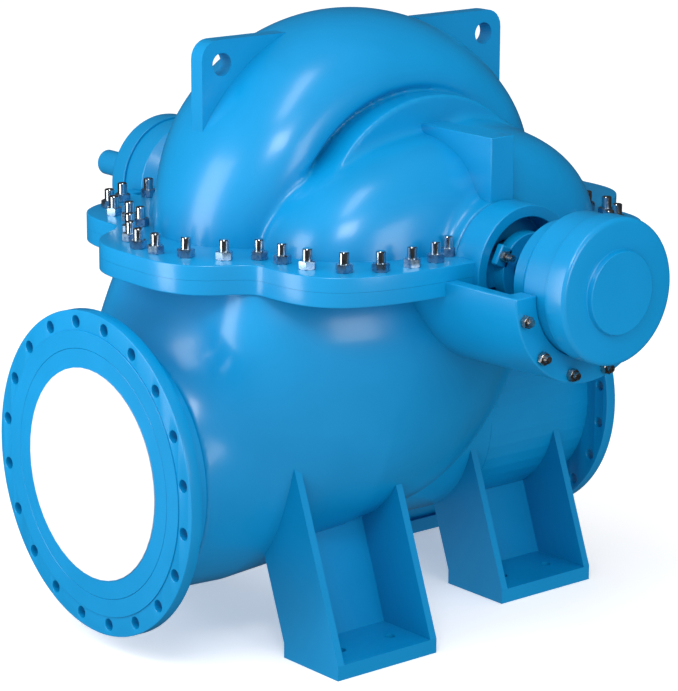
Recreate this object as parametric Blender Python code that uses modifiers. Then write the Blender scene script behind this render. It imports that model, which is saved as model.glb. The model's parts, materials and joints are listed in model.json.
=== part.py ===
"""Horizontal split-case double suction pump on its own feet, DN600 suction and DN500 discharge.

Metres, +Z up. The feet stand on Z = 0. Each piece is placed from the pump's own middle: the shaft
runs along Y at X = 0, Z = SHAFT_Z, and the volute is centred on Y = 0. The suction flange faces -X
and the discharge flange faces +X. The drive end is at +Y. An empty then moves the whole pump by
MIDDLE, so that the world's origin lies under the centre of its outline.
"""

import math

import bmesh
import bpy

# Overall places
MIDDLE = (0.0387, -0.0502, 0.0)
SHAFT_Z = 0.926
PORT_Z = 0.431
GAP = 0.0003
WELD = 0.00005
BIG = 3.0

# Split flange between the casing halves
SPLIT_THICKNESS = 0.035
VOLUTE_LOBE = (0.713, 0.297, 3.5)
VOLUTE_LOBE_Y = -0.065
SUCTION_LOBE = (0.555, 0.318, 4.0)
SUCTION_LOBE_Y = 0.300
SPLIT_REACHES = (0.200, 1.200)
SPLIT_OUTLINE_POINTS = 88

# Volute: a ring of half elliptic section, a little off the shaft towards the suction side
VOLUTE_X = -0.022
VOLUTE_Y = -0.010
VOLUTE_RADIUS = 0.530
VOLUTE_CORE = 0.380
VOLUTE_HALF_WIDTH = 0.240
VOLUTE_TOP_SCALE = 1.013
VOLUTE_BOTTOM_SCALE = 1.340
DRUM_RADIUS = 0.360
DRUM_NEAR_Y = -0.300
DRUM_FAR_Y = 0.260

# The far end's pieces repeat the near end's, closer to the volute by this much
FAR_SHORTER = 0.130

# Suction chambers beside the volute: x, half sizes along x, y and z, power in plan, power in height
CHAMBER_Y = 0.250
CHAMBER_ABOVE = (0.000, 0.467, 0.280, 0.288, 2.2, 2.8)
CHAMBER_BELOW = (-0.155, 0.478, 0.285, 0.640, 2.0, 2.0)
BOX_FACE_Y = 0.550
BOX_BOSS_RADIUS = 0.150
BOX_BOSS_START_Y = 0.300

# Suction port, DN600 PN10
SUCTION_FACE_X = -0.788
SUCTION_OUTER = 0.780
SUCTION_PITCH = 0.725
SUCTION_RAISED = 0.685
SUCTION_BORE = 0.560
SUCTION_COVER = 0.600
SUCTION_HOLE = 0.030
SUCTION_PIPE = 0.614
SUCTION_DUCT_START_X = -0.680

# Suction duct along x from the pipe: distance, half width, half height, rise of its middle, power
DUCT_STATIONS = (
    (0.000, 0.307, 0.307, 0.000, 2.0),
    (0.080, 0.322, 0.335, 0.030, 2.1),
    (0.160, 0.342, 0.375, 0.070, 2.2),
    (0.280, 0.385, 0.410, 0.120, 2.2),
    (0.420, 0.410, 0.400, 0.170, 2.2),
    (0.580, 0.380, 0.350, 0.220, 2.2),
)

# Discharge port, DN500 PN10
DISCHARGE_FACE_X = 0.606
DISCHARGE_OUTER = 0.670
DISCHARGE_PITCH = 0.620
DISCHARGE_RAISED = 0.585
DISCHARGE_BORE = 0.480
DISCHARGE_HOLE = 0.026
DISCHARGE_PIPE = 0.530
DISCHARGE_THROAT_X = 0.240

PORT_HOLES = 20
FLANGE_THICKNESS = 0.030
RAISED_HEIGHT = 0.003
COVER_THICKNESS = 0.010
LABEL_DIAMETER = 0.508
LABEL_THICKNESS = 0.002

# Feet
FOOT_INNER_X = 0.1765
FOOT_OUTER_X = 0.4785
FOOT_DEPTH = 0.201
FOOT_SOLE = 0.036
FOOT_PLATE = 0.019
FOOT_LEAN = 0.370
FOOT_WEB_INSET = 0.038
FOOT_HOLE = 0.026
FOOT_HOLE_SPACING = 0.150
FOOT_TOP_Z = 0.560
FOOT_FRONT_SUCTION = 0.537
FOOT_FRONT_DISCHARGE = 0.382

# Lifting plates
LUG_THICKNESS = 0.043
LUG_OUTER_X = 0.4704
LUG_INNER_X = 0.200
LUG_TOP_Z = 1.4235
LUG_BOTTOM_Z = 1.050
LUG_CORNER = 0.045
LUG_EYE_X = 0.4123
LUG_EYE_Z = 1.3655
LUG_EYE = 0.055

# Ribs over the stuffing boxes
RIB_HALF_WIDTH = 0.036
RIB_FACE_Y = 0.547
RIB_TOP_Z = 1.223
RIB_BACK_Y = 0.280

# Stuffing boxes, glands and shaft
BOX_RIM_Y = 0.633
BOX_RADIUS = 0.149
BOX_BORE = 0.122
BOX_FLOOR_Y = 0.560
GLAND_RADIUS = 0.088
GLAND_EAR_REACH = 0.112
GLAND_EAR_ROOT = 0.015
GLAND_EAR_HEIGHT = 0.050
GLAND_FACE_Y = 0.650
GLAND_BACK_Y = 0.615
SHAFT_RADIUS = 0.034
SLEEVE_RADIUS = 0.050
JOURNAL_RADIUS = 0.040
RUNNING_CLEARANCE = 0.006
SHAFT_NEAR_Y = -0.860
SHAFT_FAR_Y = 1.047
SHAFT_CHAMFER = 0.003
SLEEVE_NEAR_Y = -0.690
SLEEVE_FAR_Y = 0.573

# Bearing brackets and bearings, near side at -Y and far side at +Y
BRACKET_OUTER_BODY = 0.238
BRACKET_OUTER_END = 0.2265
BRACKET_WALL = 0.040
BRACKET_ROOT = 0.100
BRACKET_SEAT_DEPTH = 0.050
NEAR_BRACKET_END_Y = 0.8433
NEAR_HOUSING_BACK = 0.110
FAR_BRACKET_END_Y = 0.830
FAR_HOUSING_BACK = 0.100
HOUSING_NECK_RADIUS = 0.1335
HOUSING_RADIUS = 0.164
HOUSING_FRONT = 0.030
COVER_RADIUS = 0.1695
COVER_LENGTH = 0.060
COVER_ROUNDING = 0.011
COVER_DISC_RADIUS = 0.098
COVER_DISC_HEIGHT = 0.013
COVER_DISC_SLOPE = 0.004
COVER_CLEARANCE = 0.003

# How finely round forms are turned, and how far a cutter reaches past what it cuts
ROUND_STEPS = 48
SMALL_STEPS = 24
HOLE_STEPS = 12
PAST = 0.020


def clear_scene():
    for obj in list(bpy.data.objects):
        bpy.data.objects.remove(obj, do_unlink=True)


def make_collection(name):
    collection = bpy.data.collections.new(name)
    bpy.context.scene.collection.children.link(collection)
    return collection


def make_material(name, colour, roughness, metallic):
    material = bpy.data.materials.new(name)
    material.use_nodes = True
    shader = material.node_tree.nodes["Principled BSDF"]
    shader.inputs["Base Color"].default_value = (*colour, 1.0)
    shader.inputs["Roughness"].default_value = roughness
    shader.inputs["Metallic"].default_value = metallic
    return material


clear_scene()
PUMP = make_collection("double_suction_pump")
GUIDES = make_collection("cutters")
PAINT = make_material("sky_blue_paint", (0.003, 0.270, 0.720), 0.32, 0.0)
LABEL = make_material("white_plate", (0.880, 0.880, 0.900), 0.40, 0.0)


def add_object(name, mesh, material):
    """Link a mesh into the pump's collection."""
    obj = bpy.data.objects.new(name, mesh)
    mesh.materials.append(material)
    PUMP.objects.link(obj)
    return obj


def as_cutter(obj):
    """Turn an object into a guide that only cuts or joins."""
    PUMP.objects.unlink(obj)
    GUIDES.objects.link(obj)
    obj.hide_render = True
    obj.display_type = "WIRE"
    return obj


def smooth(obj, degrees=32):
    obj.data.shade_smooth()
    obj.data.set_sharp_from_angle(angle=math.radians(degrees))


def combine(obj, other, operation):
    modifier = obj.modifiers.new(operation.lower() + "_" + other.name, "BOOLEAN")
    modifier.operation = operation
    modifier.solver = "EXACT"
    modifier.object = as_cutter(other) if other.name in PUMP.objects else other
    return obj


def cut(obj, *others):
    for other in others:
        combine(obj, other, "DIFFERENCE")
    return obj


def join(obj, *others):
    for other in others:
        combine(obj, other, "UNION")
    return obj


def box(name, low, high, material=PAINT):
    bm = bmesh.new()
    bmesh.ops.create_cube(bm, size=1.0)
    size = [b - a for a, b in zip(low, high)]
    bmesh.ops.scale(bm, vec=size, verts=bm.verts)
    mesh = bpy.data.meshes.new(name)
    bm.to_mesh(mesh)
    bm.free()
    obj = add_object(name, mesh, material)
    obj.location = [(a + b) / 2 for a, b in zip(low, high)]
    return obj


AXIS_TURN = {"X": (0.0, math.pi / 2, 0.0), "Y": (-math.pi / 2, 0.0, 0.0), "Z": (0.0, 0.0, 0.0)}


def rod(name, axis, centre, start, end, radius, steps=ROUND_STEPS, material=PAINT):
    """A cylinder along one axis, from start to end on that axis, through centre on the other two."""
    bm = bmesh.new()
    bmesh.ops.create_cone(bm, cap_ends=True, segments=steps, radius1=radius, radius2=radius,
                          depth=end - start)
    mesh = bpy.data.meshes.new(name)
    bm.to_mesh(mesh)
    bm.free()
    obj = add_object(name, mesh, material)
    obj.rotation_euler = AXIS_TURN[axis]
    place = list(centre)
    place["XYZ".index(axis)] = (start + end) / 2
    obj.location = place
    smooth(obj)
    return obj


def turned(name, axis, centre, profile, steps=ROUND_STEPS, material=PAINT, closed=False):
    """Turn (radius, along) points about an axis; the points run down the outer side, far end first."""
    mesh = bpy.data.meshes.new(name)
    points = [(radius, 0.0, along) for radius, along in profile]
    edges = [(i, i + 1) for i in range(len(points) - 1)]
    if closed:
        edges.append((len(points) - 1, 0))
    mesh.from_pydata(points, edges, [])
    obj = add_object(name, mesh, material)
    obj.rotation_euler = AXIS_TURN[axis]
    obj.location = centre
    screw = obj.modifiers.new("turn", "SCREW")
    screw.axis = "Z"
    screw.angle = math.tau
    screw.steps = steps
    screw.render_steps = steps
    screw.use_merge_vertices = True
    screw.merge_threshold = WELD
    screw.use_smooth_shade = True
    return obj


def plate(name, outline, thickness, rotation, location, material=PAINT):
    """Extrude a flat outline both ways from its plane, and make it a mesh that can be cut."""
    curve = bpy.data.curves.new(name + "_outline", "CURVE")
    curve.dimensions = "2D"
    curve.fill_mode = "BOTH"
    curve.extrude = thickness / 2
    spline = curve.splines.new("POLY")
    spline.points.add(len(outline) - 1)
    for point, (u, v) in zip(spline.points, outline):
        point.co = (u, v, 0.0, 1.0)
    spline.use_cyclic_u = True
    drawn = bpy.data.objects.new(name + "_outline", curve)
    GUIDES.objects.link(drawn)
    bpy.context.view_layer.update()
    mesh = bpy.data.meshes.new_from_object(drawn.evaluated_get(bpy.context.evaluated_depsgraph_get()))
    bpy.data.objects.remove(drawn, do_unlink=True)
    bm = bmesh.new()
    bm.from_mesh(mesh)
    bmesh.ops.remove_doubles(bm, verts=bm.verts, dist=WELD)
    bmesh.ops.recalc_face_normals(bm, faces=bm.faces)
    bm.to_mesh(mesh)
    bm.free()
    obj = add_object(name, mesh, material)
    obj.rotation_euler = rotation
    obj.location = location
    smooth(obj)
    return obj


def arc(centre, radius, start, end, count):
    """Points on an arc, angles in degrees."""
    angles = [math.radians(start + (end - start) * i / count) for i in range(count + 1)]
    return [(centre[0] + radius * math.cos(a), centre[1] + radius * math.sin(a)) for a in angles]


def end_shift(side):
    """What the far end's pieces, on side 1, are moved along Y by, to stand closer to the volute."""
    return -FAR_SHORTER if side > 0 else 0.0


def along(side, distance):
    """A place on Y at a distance that is measured at the near end."""
    return side * distance + end_shift(side)


def half_space(name, upper):
    """A block that fills everything above, or below, the split plane."""
    low = SHAFT_Z + GAP / 2 if upper else -BIG
    high = BIG if upper else SHAFT_Z - GAP / 2
    return as_cutter(box(name, (-BIG, -BIG, low), (BIG, BIG, high)))


def lobe_value(x, y, lobe, centre_y):
    """Below 1 inside a rounded lobe of the split flange, above 1 outside."""
    half_x, half_y, power = lobe
    return (abs(x) / half_x) ** power + (abs(y - centre_y) / half_y) ** power


def split_reach(angle):
    """How far the split flange reaches from the pump's middle at a plan angle."""
    near, far = SPLIT_REACHES
    lobes = [(VOLUTE_LOBE, VOLUTE_LOBE_Y)]
    lobes += [(SUCTION_LOBE, along(side, SUCTION_LOBE_Y)) for side in (-1, 1)]
    for _ in range(30):
        middle = (near + far) / 2
        x, y = middle * math.cos(angle), middle * math.sin(angle)
        inside = min(lobe_value(x, y, lobe, centre) for lobe, centre in lobes) < 1
        near, far = (middle, far) if inside else (near, middle)
    return near


def split_plate(name, grow=0.0):
    """Both halves of the split flange as one plate, which the split plane then parts."""
    angles = [math.tau * (i + 0.5) / SPLIT_OUTLINE_POINTS for i in range(SPLIT_OUTLINE_POINTS)]
    reach = [split_reach(a) + grow for a in angles]
    outline = [(r * math.cos(a), r * math.sin(a)) for a, r in zip(angles, reach)]
    return plate(name, outline, 2 * (SPLIT_THICKNESS + grow), (0.0, 0.0, 0.0), (0.0, 0.0, SHAFT_Z))


def volute_ring(name, scale_z, grow=0.0):
    """The volute as one turned ring with an elliptic back, taller or lower by scale_z."""
    count = 12
    half_width = VOLUTE_HALF_WIDTH + grow
    profile = [(0.0, half_width)]
    for i in range(count + 1):
        t = math.pi * i / count
        radius = VOLUTE_CORE + (VOLUTE_RADIUS + grow - VOLUTE_CORE) * math.sin(t)
        profile.append((radius, half_width * math.cos(t)))
    profile.append((0.0, -half_width))
    obj = turned(name, "Y", (VOLUTE_X, VOLUTE_Y, SHAFT_Z), profile)
    obj.scale = (1.0, scale_z, 1.0)
    return obj


def drum(name, grow=0.0):
    """The round step between the volute and the chambers."""
    return rod(name, "Y", (0.0, 0.0, SHAFT_Z), DRUM_NEAR_Y - grow, DRUM_FAR_Y + grow, DRUM_RADIUS + grow)


def chamber(name, side, form, grow=0.0):
    """One suction chamber, a bulge beside the volute that is a superellipse in plan and in height."""
    x, half_x, half_y, half_z, plan, rise = form
    bm = bmesh.new()
    bmesh.ops.create_uvsphere(bm, u_segments=32, v_segments=16, radius=1.0)
    for vert in bm.verts:
        flat = (abs(vert.co.x) ** plan + abs(vert.co.y) ** plan) ** (1 / plan)
        vert.co /= (flat ** rise + abs(vert.co.z) ** rise) ** (1 / rise)
    bmesh.ops.scale(bm, vec=(half_x + grow, half_y + grow, half_z + grow), verts=bm.verts)
    mesh = bpy.data.meshes.new(name)
    bm.to_mesh(mesh)
    bm.free()
    obj = add_object(name, mesh, PAINT)
    obj.location = (x, along(side, CHAMBER_Y), SHAFT_Z)
    return obj


def box_boss(name, side, grow=0.0):
    """The round boss that carries a stuffing box."""
    ends = sorted((along(side, BOX_BOSS_START_Y), along(side, BOX_FACE_Y + grow)))
    return rod(name, "Y", (0.0, 0.0, SHAFT_Z), ends[0], ends[1], BOX_BOSS_RADIUS + grow)


def shaft_tunnel(name):
    radius = SLEEVE_RADIUS + RUNNING_CLEARANCE
    return as_cutter(rod(name, "Y", (0.0, 0.0, SHAFT_Z), -BIG, BIG, radius, steps=SMALL_STEPS))


def box_pocket(name, side):
    """The round pocket in front of a boss, where the stuffing box stands."""
    ends = sorted((along(side, BOX_FACE_Y), side * BIG))
    return as_cutter(rod(name, "Y", (0.0, 0.0, SHAFT_Z), ends[0], ends[1], BOX_RADIUS + GAP))


def casing_forms(name, volute_scale, chamber_form, grow=0.0):
    """The forms that both casing halves are cast from, each a little larger when they cut a neighbour."""
    return [
        volute_ring(name, volute_scale, grow),
        split_plate(name + "_split_plate", grow),
        drum(name + "_drum", grow),
        chamber(name + "_chamber_near", -1, chamber_form, grow),
        chamber(name + "_chamber_far", 1, chamber_form, grow),
        box_boss(name + "_boss_near", -1, grow),
        box_boss(name + "_boss_far", 1, grow),
    ]


def upper_casing():
    casing, *forms = casing_forms("upper_casing", VOLUTE_TOP_SCALE, CHAMBER_ABOVE)
    join(casing, *forms)
    combine(casing, half_space("above_split", True), "INTERSECT")
    pockets = [box_pocket("pocket_top_near", -1), box_pocket("pocket_top_far", 1)]
    cut(casing, shaft_tunnel("tunnel_top"), *pockets)


def suction_duct(name, grow=0.0):
    """The duct that opens from the round suction pipe into both suction chambers: a loft along X."""
    around = 32
    bm = bmesh.new()
    rings = []
    for distance, half_y, half_z, rise, power in DUCT_STATIONS:
        ring = []
        for i in range(around):
            t = math.tau * i / around
            y = (half_y + grow) * math.copysign(abs(math.cos(t)) ** (2 / power), math.cos(t))
            z = (half_z + grow) * math.copysign(abs(math.sin(t)) ** (2 / power), math.sin(t))
            ring.append(bm.verts.new((SUCTION_DUCT_START_X + distance, y, PORT_Z + rise + z)))
        rings.append(ring)
    for first, second in zip(rings, rings[1:]):
        for i in range(around):
            j = (i + 1) % around
            bm.faces.new((first[i], first[j], second[j], second[i]))
    bm.faces.new(list(reversed(rings[0])))
    bm.faces.new(rings[-1])
    bmesh.ops.recalc_face_normals(bm, faces=bm.faces)
    bmesh.ops.triangulate(bm, faces=bm.faces)
    mesh = bpy.data.meshes.new(name)
    bm.to_mesh(mesh)
    bm.free()
    return add_object(name, mesh, PAINT)


def lower_casing():
    casing, *forms = casing_forms("lower_casing", VOLUTE_BOTTOM_SCALE, CHAMBER_BELOW)
    join(casing, *forms, suction_duct("suction_duct"))
    combine(casing, half_space("below_split", False), "INTERSECT")
    pockets = [box_pocket("pocket_low_near", -1), box_pocket("pocket_low_far", 1)]
    cut(casing, shaft_tunnel("tunnel_low"), *pockets)


def port_flange(name, face_x, out, sizes, recess):
    """A round pipe flange with a raised face and a ring of bolt holes; out is -1 or +1 along X."""
    outer, pitch, raised, bore, hole = sizes
    back = FLANGE_THICKNESS + RAISED_HEIGHT
    profile = [
        (raised / 2, 0.0), (raised / 2, -RAISED_HEIGHT), (outer / 2, -RAISED_HEIGHT),
        (outer / 2, -back), (bore / 2, -back),
    ]
    if recess:
        profile += [(bore / 2, -COVER_THICKNESS - GAP), (recess / 2, -COVER_THICKNESS - GAP)]
        profile.append((recess / 2, 0.0))
    else:
        profile.append((bore / 2, 0.0))
    flange = turned(name, "X", (face_x, 0.0, PORT_Z), profile, closed=True)
    flange.rotation_euler = (0.0, out * math.pi / 2, 0.0)
    for i in range(PORT_HOLES):
        angle = math.tau * (i + 0.5) / PORT_HOLES
        y, z = pitch / 2 * math.cos(angle), PORT_Z + pitch / 2 * math.sin(angle)
        ends = sorted((face_x + out * PAST, face_x - out * (back + PAST)))
        cut(flange, rod(f"{name}_hole_{i}", "X", (0.0, y, z), ends[0], ends[1], hole / 2, HOLE_STEPS))
    return flange


def pipe_tube(name, start, end, outer, bore):
    """A straight pipe neck along X, from start to end."""
    profile = [(outer / 2, end), (outer / 2, start), (bore / 2, start), (bore / 2, end)]
    return turned(name, "X", (0.0, 0.0, PORT_Z), profile, closed=True)


def suction_port():
    sizes = (SUCTION_OUTER, SUCTION_PITCH, SUCTION_RAISED, SUCTION_BORE, SUCTION_HOLE)
    port_flange("suction_flange", SUCTION_FACE_X, -1, sizes, SUCTION_COVER)
    start = SUCTION_FACE_X + FLANGE_THICKNESS + RAISED_HEIGHT + GAP
    pipe_tube("suction_neck", start, SUCTION_DUCT_START_X - GAP, SUCTION_PIPE, SUCTION_BORE)
    cover_end = SUCTION_FACE_X + COVER_THICKNESS
    rod("suction_cover", "X", (0.0, 0.0, PORT_Z), SUCTION_FACE_X, cover_end, SUCTION_COVER / 2 - GAP)
    label_end = SUCTION_FACE_X - GAP
    rod("suction_cover_plate", "X", (0.0, 0.0, PORT_Z), label_end - LABEL_THICKNESS, label_end,
        LABEL_DIAMETER / 2, material=LABEL)


def discharge_port(bodies):
    sizes = (DISCHARGE_OUTER, DISCHARGE_PITCH, DISCHARGE_RAISED, DISCHARGE_BORE, DISCHARGE_HOLE)
    port_flange("discharge_flange", DISCHARGE_FACE_X, 1, sizes, None)
    end = DISCHARGE_FACE_X - FLANGE_THICKNESS - RAISED_HEIGHT - GAP
    neck = pipe_tube("discharge_neck", DISCHARGE_THROAT_X, end, DISCHARGE_PIPE, DISCHARGE_BORE)
    cut(neck, *bodies)


def foot(name, side_x, side_y, front, bodies):
    """One foot: a sole with two bolt holes, two leaning cheek plates and a web between them."""
    back = front - FOOT_DEPTH
    top = FOOT_TOP_Z
    lean = FOOT_LEAN * (top - FOOT_SOLE)
    low_x, high_x = sorted((side_x * FOOT_INNER_X, side_x * FOOT_OUTER_X))
    low_y, high_y = sorted((side_y * front, side_y * back))
    sole = box(name, (low_x, low_y, 0.0), (high_x, high_y, FOOT_SOLE))
    sink = FOOT_SOLE / 2
    cheek = [
        (side_y * front, sink), (side_y * front, FOOT_SOLE), (side_y * (front - lean), top),
        (side_y * (back - lean), top), (side_y * back, FOOT_SOLE), (side_y * back, sink),
    ]
    for end_x, inward in ((low_x, 1), (high_x, -1)):
        middle = end_x + inward * FOOT_PLATE / 2
        join(sole, plate(f"{name}_cheek_{inward}", cheek, FOOT_PLATE, (math.pi / 2, 0.0, math.pi / 2),
                         (middle, 0.0, 0.0)))
    web_low = back + FOOT_WEB_INSET
    web = [
        (side_y * web_low, sink), (side_y * (web_low - lean), top),
        (side_y * (web_low - lean - FOOT_PLATE), top), (side_y * (web_low - FOOT_PLATE), sink),
    ]
    join(sole, plate(f"{name}_web", web, high_x - low_x - FOOT_PLATE, (math.pi / 2, 0.0, math.pi / 2),
                     ((low_x + high_x) / 2, 0.0, 0.0)))
    hole_y = side_y * (front - (FOOT_DEPTH - FOOT_WEB_INSET) / 2)
    for step in (-0.5, 0.5):
        x = (low_x + high_x) / 2 + step * FOOT_HOLE_SPACING
        cut(sole, rod(f"{name}_hole_{step}", "Z", (x, hole_y, 0.0), -PAST, FOOT_SOLE + PAST, FOOT_HOLE / 2,
                      HOLE_STEPS))
    cut(sole, *bodies)


def lifting_plate(name, side, bodies):
    corner = (LUG_OUTER_X - LUG_CORNER, LUG_TOP_Z - LUG_CORNER)
    outline = [(LUG_INNER_X, LUG_BOTTOM_Z), (LUG_OUTER_X, LUG_BOTTOM_Z)]
    outline += arc(corner, LUG_CORNER, 0.0, 90.0, 6)
    outline.append((LUG_INNER_X, LUG_TOP_Z))
    if side < 0:
        outline = [(-x, z) for x, z in reversed(outline)]
    lug = plate(name, outline, LUG_THICKNESS, (math.pi / 2, 0.0, 0.0), (0.0, 0.0, 0.0))
    eye = (side * LUG_EYE_X, 0.0, LUG_EYE_Z)
    cut(lug, rod(name + "_eye", "Y", eye, -LUG_THICKNESS, LUG_THICKNESS, LUG_EYE / 2, SMALL_STEPS))
    cut(lug, *bodies)


def rib(name, side, bodies):
    low_y, high_y = sorted((along(side, RIB_BACK_Y), along(side, RIB_FACE_Y)))
    low = (-RIB_HALF_WIDTH, low_y, SHAFT_Z + BOX_BOSS_RADIUS / 2)
    high = (RIB_HALF_WIDTH, high_y, RIB_TOP_Z)
    cut(box(name, low, high), *bodies)


def stuffing_box(name, side):
    """A round collar around the shaft, open at the front, with a floor that the shaft passes."""
    bore = SLEEVE_RADIUS + RUNNING_CLEARANCE
    profile = [
        (BOX_RADIUS, BOX_RIM_Y), (BOX_RADIUS, BOX_FACE_Y + GAP), (bore, BOX_FACE_Y + GAP),
        (bore, BOX_FLOOR_Y), (BOX_BORE, BOX_FLOOR_Y), (BOX_BORE, BOX_RIM_Y),
    ]
    obj = turned(name, "Y", (0.0, end_shift(side), SHAFT_Z), profile, closed=True)
    obj.rotation_euler = (-side * math.pi / 2, 0.0, 0.0)
    return obj


def gland(name, side):
    """The gland: a flanged ring with two ears for its studs."""
    bore = SLEEVE_RADIUS + RUNNING_CLEARANCE
    profile = [
        (GLAND_RADIUS, GLAND_FACE_Y), (GLAND_RADIUS, BOX_FLOOR_Y + GAP),
        (bore, BOX_FLOOR_Y + GAP), (bore, GLAND_FACE_Y),
    ]
    ring = turned(name, "Y", (0.0, end_shift(side), SHAFT_Z), profile, steps=32, closed=True)
    ring.rotation_euler = (-side * math.pi / 2, 0.0, 0.0)
    low_y, high_y = sorted((along(side, GLAND_BACK_Y), along(side, GLAND_FACE_Y)))
    for ear in (-1, 1):
        low_x, high_x = sorted((ear * (GLAND_RADIUS - GLAND_EAR_ROOT), ear * GLAND_EAR_REACH))
        low = (low_x, low_y, SHAFT_Z - GLAND_EAR_HEIGHT / 2)
        high = (high_x, high_y, SHAFT_Z + GLAND_EAR_HEIGHT / 2)
        join(ring, box(f"{name}_ear_{ear}", low, high))
    return ring


def bracket(name, side, end_y, bodies):
    """The lower half trough from the casing to the bearing, with a seat for the housing."""
    start = BOX_FACE_Y - BRACKET_ROOT
    inner = BRACKET_OUTER_BODY - BRACKET_WALL
    seat_y = end_y - BRACKET_SEAT_DEPTH
    profile = [
        (BRACKET_OUTER_END, end_y), (BRACKET_OUTER_BODY, start), (inner, start),
        (inner, seat_y), (HOUSING_RADIUS + GAP, seat_y), (HOUSING_RADIUS + GAP, end_y),
    ]
    obj = turned(name, "Y", (0.0, end_shift(side), SHAFT_Z), profile, closed=True)
    obj.rotation_euler = (-side * math.pi / 2, 0.0, 0.0)
    combine(obj, half_space(name + "_half", False), "INTERSECT")
    cut(obj, *bodies)


def bearing_housing(name, side, end_y, length):
    """The turned bearing housing that lies in the bracket's seat and narrows towards the casing."""
    bore = JOURNAL_RADIUS + GAP
    profile = [
        (HOUSING_RADIUS, end_y + HOUSING_FRONT), (HOUSING_RADIUS, end_y - 0.4 * length),
        (HOUSING_NECK_RADIUS, end_y - 0.7 * length), (HOUSING_NECK_RADIUS, end_y - length),
        (bore, end_y - length), (bore, end_y + HOUSING_FRONT),
    ]
    obj = turned(name, "Y", (0.0, end_shift(side), SHAFT_Z), profile, closed=True)
    obj.rotation_euler = (-side * math.pi / 2, 0.0, 0.0)
    return obj


def bearing_cover(name, side, end_y, open_bore):
    """The end cover; the near one is closed and has a raised disc, the far one passes the shaft."""
    back = end_y + HOUSING_FRONT + GAP
    front = back + COVER_LENGTH
    rounding = arc((COVER_RADIUS - COVER_ROUNDING, front - COVER_ROUNDING), COVER_ROUNDING, 90.0, 0.0, 4)
    if open_bore:
        bore = SHAFT_RADIUS + COVER_CLEARANCE
        profile = [(bore, front)] + rounding + [(COVER_RADIUS, back), (bore, back)]
    else:
        disc = front + COVER_DISC_HEIGHT
        profile = [(0.0, disc), (COVER_DISC_RADIUS - COVER_DISC_SLOPE, disc), (COVER_DISC_RADIUS, front)]
        profile += rounding + [(COVER_RADIUS, back), (0.0, back)]
    obj = turned(name, "Y", (0.0, end_shift(side), SHAFT_Z), profile, closed=open_bore)
    obj.rotation_euler = (-side * math.pi / 2, 0.0, 0.0)
    return obj


def rotor_shaft():
    """The shaft with its sleeves, from inside the near bearing to the drive stub."""
    far_bearing = along(1, FAR_BRACKET_END_Y + HOUSING_FRONT)
    profile = [
        (0.0, SHAFT_FAR_Y), (SHAFT_RADIUS - SHAFT_CHAMFER, SHAFT_FAR_Y),
        (SHAFT_RADIUS, SHAFT_FAR_Y - SHAFT_CHAMFER),
        (SHAFT_RADIUS, far_bearing), (JOURNAL_RADIUS, far_bearing), (JOURNAL_RADIUS, SLEEVE_FAR_Y),
        (SLEEVE_RADIUS, SLEEVE_FAR_Y), (SLEEVE_RADIUS, SLEEVE_NEAR_Y), (JOURNAL_RADIUS, SLEEVE_NEAR_Y),
        (JOURNAL_RADIUS, SHAFT_NEAR_Y), (0.0, SHAFT_NEAR_Y),
    ]
    return turned("shaft", "Y", (0.0, 0.0, SHAFT_Z), profile, steps=32)


def place_on_middle():
    """Hang every piece and guide on one empty and move it, so the pump stands over the origin."""
    middle = bpy.data.objects.new("pump_middle", None)
    bpy.context.scene.collection.objects.link(middle)
    for obj in list(PUMP.objects) + list(GUIDES.objects):
        obj.parent = middle
    middle.location = MIDDLE


def build_pump():
    upper_casing()
    lower_casing()
    above = [as_cutter(form) for form in casing_forms("upper_fit", VOLUTE_TOP_SCALE, CHAMBER_ABOVE, GAP)]
    below = [as_cutter(form) for form in casing_forms("lower_fit", VOLUTE_BOTTOM_SCALE, CHAMBER_BELOW, GAP)]
    below.append(as_cutter(suction_duct("duct_fit", GAP)))
    neck = as_cutter(rod("neck_fit", "X", (0.0, 0.0, PORT_Z), DISCHARGE_THROAT_X - PAST,
                         DISCHARGE_FACE_X, DISCHARGE_PIPE / 2 + GAP))
    suction_port()
    discharge_port(below)
    for side_y, word in ((-1, "near"), (1, "far")):
        foot(f"foot_suction_{word}", -1, side_y, FOOT_FRONT_SUCTION, below)
        foot(f"foot_discharge_{word}", 1, side_y, FOOT_FRONT_DISCHARGE, below + [neck])
    lifting_plate("lifting_plate_suction", -1, above)
    lifting_plate("lifting_plate_discharge", 1, above)
    bearings = (
        (-1, "near", NEAR_BRACKET_END_Y, NEAR_HOUSING_BACK),
        (1, "far", FAR_BRACKET_END_Y, FAR_HOUSING_BACK),
    )
    for side, word, end_y, housing_back in bearings:
        rib(f"rib_{word}", side, above)
        stuffing_box(f"stuffing_box_{word}", side)
        gland(f"gland_{word}", side)
        bracket(f"bearing_bracket_{word}", side, end_y, below)
        bearing_housing(f"bearing_housing_{word}", side, end_y, housing_back)
        bearing_cover(f"bearing_cover_{word}", side, end_y, word == "far")
    rotor_shaft()
    place_on_middle()


build_pump()
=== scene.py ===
"""Looks of the horizontal split-case double suction pump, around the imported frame.

Metres, +Z up. Most sizes are given in pump coordinates: from the point on the shaft's axis over the
middle of the volute, which the frame's joint gives, with z measured from the shaft's axis.
"""

import json
import math

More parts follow.
